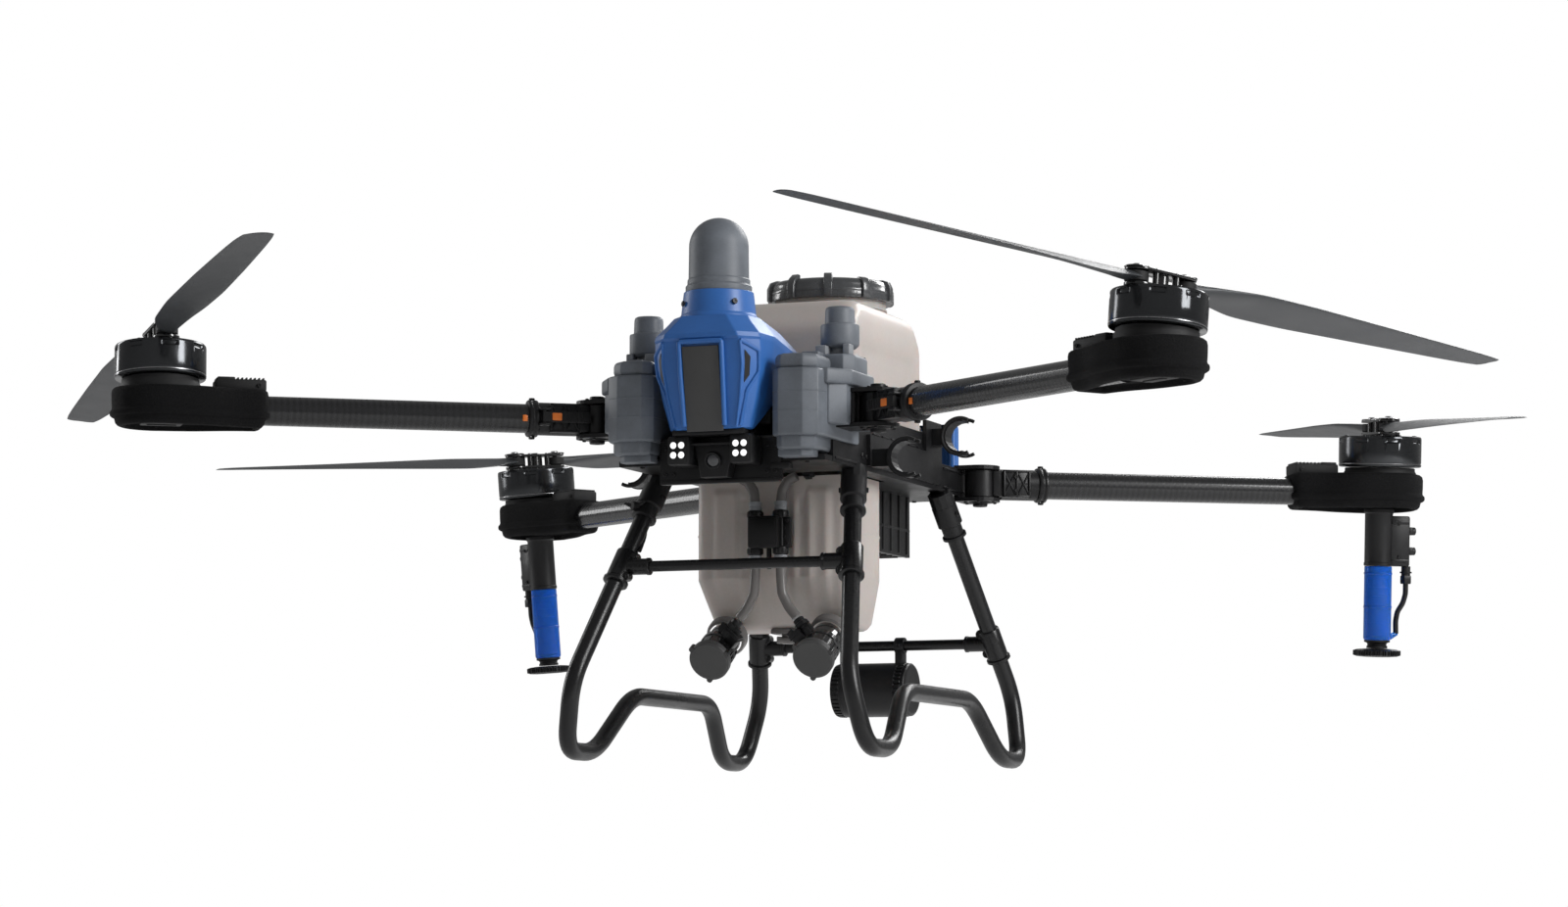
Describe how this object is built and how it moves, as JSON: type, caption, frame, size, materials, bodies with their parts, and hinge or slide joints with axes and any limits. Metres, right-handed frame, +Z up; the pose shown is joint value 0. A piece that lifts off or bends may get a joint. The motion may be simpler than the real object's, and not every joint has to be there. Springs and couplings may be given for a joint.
{
  "type": "agricultural spray drone",
  "caption": "Multirotor spray drone with folding carbon arms, hinged rotor blades, liquid tank with a turning filler cap, lift-out battery, spinning-disc nozzles and skid legs.",
  "frame": {"origin": "middle of the flat strip on the underside of the belly plate, between the tank's leg and the tray", "axes": "+Z up, -Y towards the nose, +X towards the drone's left side"},
  "size_m": [2.1075, 2.2506, 0.7302],
  "materials": {
    "moulded_black": "satin moulded black",
    "tube_black": "satin black coated tube",
    "boot_black": "dull black, fine texture",
    "carbon_tube": "clear-coated carbon weave",
    "motor_gloss": "glossy dark anodised bell",
    "blade_grey": "dark grey composite",
    "clear_blue": "translucent blue",
    "cowl_blue": "satin blue",
    "cover_grey": "satin mid grey",
    "window_grey": "satin dark grey",
    "tank_milky": "milky translucent off-white",
    "cap_smoke": "smoky dark",
    "hose_clear": "clear grey tubing",
    "hose_black": "black tubing"
  },
  "bodies": {
    "root": {"chassis": "moulded_black", "shoulder_left": "cover_grey", "shoulder_right": "cover_grey", "nose_shell": "cowl_blue", "nose_window": "window_grey", "mast_dome": "cover_grey", "antenna_left": "cover_grey", "antenna_right": "cover_grey", "headlamp_left": "moulded_black", "headlamp_right": "moulded_black", "camera": "moulded_black", "skid_left": "tube_black", "skid_right": "tube_black", "front_cross_brace": "tube_black", "rear_cross_brace": "tube_black", "tail_shell": "cowl_blue", "arm_rest_left": "moulded_black", "arm_rest_right": "moulded_black", "pump_left": "moulded_black", "pump_right": "moulded_black", "flow_meter": "moulded_black", "riser_hose_left": "hose_clear", "riser_hose_right": "hose_clear", "terrain_radar": "moulded_black", "tank": "tank_milky"},
    "filler_cap": {"tank_cap": "cap_smoke"},
    "battery_pack": {"battery": "moulded_black"},
    "arm_front_left": {"arm_front_left": "carbon_tube", "motor_pod_front_left": "boot_black"},
    "latch_front_left": {"latch_front_left": "moulded_black"},
    "rotor_front_left": {"motor_bell_front_left": "motor_gloss"},
    "blade_a_front_left": {"blade_a_front_left": "blade_grey"},
    "blade_b_front_left": {"blade_b_front_left": "blade_grey"},
    "arm_front_right": {"arm_front_right": "carbon_tube", "motor_pod_front_right": "boot_black"},
    "latch_front_right": {"latch_front_right": "moulded_black"},
    "rotor_front_right": {"motor_bell_front_right": "motor_gloss"},
    "blade_a_front_right": {"blade_a_front_right": "blade_grey"},
    "blade_b_front_right": {"blade_b_front_right": "blade_grey"},
    "arm_rear_left": {"arm_rear_left": "carbon_tube", "motor_pod_rear_left": "boot_black", "nozzle_body_left": "moulded_black", "nozzle_tube_left": "clear_blue", "nozzle_hose_left": "hose_black"},
    "latch_rear_left": {"latch_rear_left": "moulded_black"},
    "rotor_rear_left": {"motor_bell_rear_left": "motor_gloss"},
    "blade_a_rear_left": {"blade_a_rear_left": "blade_grey"},
    "blade_b_rear_left": {"blade_b_rear_left": "blade_grey"},
    "disc_left": {"nozzle_disc_left": "moulded_black"},
    "arm_rear_right": {"arm_rear_right": "carbon_tube", "motor_pod_rear_right": "boot_black", "nozzle_body_right": "moulded_black", "nozzle_tube_right": "clear_blue", "nozzle_hose_right": "hose_black"},
    "latch_rear_right": {"latch_rear_right": "moulded_black"},
    "rotor_rear_right": {"motor_bell_rear_right": "motor_gloss"},
    "blade_a_rear_right": {"blade_a_rear_right": "blade_grey"},
    "blade_b_rear_right": {"blade_b_rear_right": "blade_grey"},
    "disc_right": {"nozzle_disc_right": "moulded_black"}
  },
  "joints": [
    {"name": "cap_turn", "type": "hinge", "parent": "root", "child": "filler_cap", "pos_m": [0, 0.079, 0.271], "axis": [0, 0, 1], "range_deg": [0, 120]},
    {"name": "battery_lift", "type": "slide", "parent": "root", "child": "battery_pack", "axis": [0, 0, 1], "range_m": [0, 0.17]},
    {"name": "fold_front_left", "type": "hinge", "parent": "root", "child": "arm_front_left", "pos_m": [0.206, -0.292, 0.072], "axis": [0, 0, 1], "range_deg": [0, 127]},
    {"name": "latch_open_front_left", "type": "hinge", "parent": "arm_front_left", "child": "latch_front_left", "pos_m": [0.25322, -0.36243, 0.072], "axis": [0, 0, 1], "range_deg": [0, 70]},
    {"name": "spin_front_left", "type": "hinge", "parent": "arm_front_left", "child": "rotor_front_left", "pos_m": [0.6957, -0.63873, 0.13177], "axis": [0.051, 0.0707, 0.9962], "continuous": true},
    {"name": "blade_a_fold_front_left", "type": "hinge", "parent": "rotor_front_left", "child": "blade_a_front_left", "pos_m": [0.71811, -0.60181, 0.16665], "axis": [0.051, 0.0707, 0.9962], "range_deg": [0, 90]},
    {"name": "blade_b_fold_front_left", "type": "hinge", "parent": "rotor_front_left", "child": "blade_b_front_left", "pos_m": [0.67721, -0.67021, 0.1736], "axis": [0.051, 0.0707, 0.9962], "range_deg": [0, 90]},
    {"name": "fold_front_right", "type": "hinge", "parent": "root", "child": "arm_front_right", "pos_m": [-0.206, -0.292, 0.072], "axis": [0, 0, -1], "range_deg": [0, 127]},
    {"name": "latch_open_front_right", "type": "hinge", "parent": "arm_front_right", "child": "latch_front_right", "pos_m": [-0.25322, -0.36243, 0.072], "axis": [0, 0, -1], "range_deg": [0, 70]},
    {"name": "spin_front_right", "type": "hinge", "parent": "arm_front_right", "child": "rotor_front_right", "pos_m": [-0.6957, -0.63873, 0.13177], "axis": [-0.051, 0.0707, 0.9962], "continuous": true},
    {"name": "blade_a_fold_front_right", "type": "hinge", "parent": "rotor_front_right", "child": "blade_a_front_right", "pos_m": [-0.67135, -0.66594, 0.17359], "axis": [-0.051, 0.0707, 0.9962], "range_deg": [0, 90]},
    {"name": "blade_b_fold_front_right", "type": "hinge", "parent": "rotor_front_right", "child": "blade_b_front_right", "pos_m": [-0.72397, -0.60608, 0.16665], "axis": [-0.051, 0.0707, 0.9962], "range_deg": [0, 90]},
    {"name": "fold_rear_left", "type": "hinge", "parent": "root", "child": "arm_rear_left", "pos_m": [0.175, 0.235, 0.018], "axis": [0, 0, -1], "range_deg": [0, 84]},
    {"name": "latch_open_rear_left", "type": "hinge", "parent": "arm_rear_left", "child": "latch_rear_left", "pos_m": [0.22453, 0.30383, 0.018], "axis": [0, 0, -1], "range_deg": [0, 70]},
    {"name": "spin_rear_left", "type": "hinge", "parent": "arm_rear_left", "child": "rotor_rear_left", "pos_m": [0.69252, 0.57646, 0.07777], "axis": [0.0486, -0.0723, 0.9962], "continuous": true},
    {"name": "blade_a_fold_rear_left", "type": "hinge", "parent": "rotor_rear_left", "child": "blade_a_rear_left", "pos_m": [0.674, 0.60791, 0.11961], "axis": [0.0486, -0.0723, 0.9962], "range_deg": [0, 85]},
    {"name": "blade_b_fold_rear_left", "type": "hinge", "parent": "rotor_rear_left", "child": "blade_b_rear_left", "pos_m": [0.71479, 0.53944, 0.11264], "axis": [-0.0486, 0.0723, -0.9962], "range_deg": [0, 85]},
    {"name": "disc_spin_left", "type": "hinge", "parent": "arm_rear_left", "child": "disc_left", "pos_m": [0.67818, 0.5978, -0.21611], "axis": [0.0486, -0.0723, 0.9962], "continuous": true},
    {"name": "fold_rear_right", "type": "hinge", "parent": "root", "child": "arm_rear_right", "pos_m": [-0.175, 0.235, 0.018], "axis": [0, 0, 1], "range_deg": [0, 84]},
    {"name": "latch_open_rear_right", "type": "hinge", "parent": "arm_rear_right", "child": "latch_rear_right", "pos_m": [-0.22453, 0.30383, 0.018], "axis": [0, 0, 1], "range_deg": [0, 70]},
    {"name": "spin_rear_right", "type": "hinge", "parent": "arm_rear_right", "child": "rotor_rear_right", "pos_m": [-0.69252, 0.57646, 0.07777], "axis": [-0.0486, -0.0723, 0.9962], "continuous": true},
    {"name": "blade_a_fold_rear_right", "type": "hinge", "parent": "rotor_rear_right", "child": "blade_a_rear_right", "pos_m": [-0.71383, 0.53888, 0.11265], "axis": [-0.0486, -0.0723, 0.9962], "range_deg": [0, 85]},
    {"name": "blade_b_fold_rear_right", "type": "hinge", "parent": "rotor_rear_right", "child": "blade_b_rear_right", "pos_m": [-0.67497, 0.60847, 0.1196], "axis": [0.0486, 0.0723, -0.9962], "range_deg": [0, 85]},
    {"name": "disc_spin_right", "type": "hinge", "parent": "arm_rear_right", "child": "disc_right", "pos_m": [-0.67818, 0.5978, -0.21611], "axis": [-0.0486, -0.0723, 0.9962], "continuous": true}
  ],
  "couplings": [
    {"joint": "blade_a_fold_rear_left", "follows": "fold_rear_left", "ratio": 1.0119},
    {"joint": "blade_b_fold_rear_left", "follows": "fold_rear_left", "ratio": 1.0119},
    {"joint": "blade_a_fold_rear_right", "follows": "fold_rear_right", "ratio": 1.0119},
    {"joint": "blade_b_fold_rear_right", "follows": "fold_rear_right", "ratio": 1.0119}
  ]
}
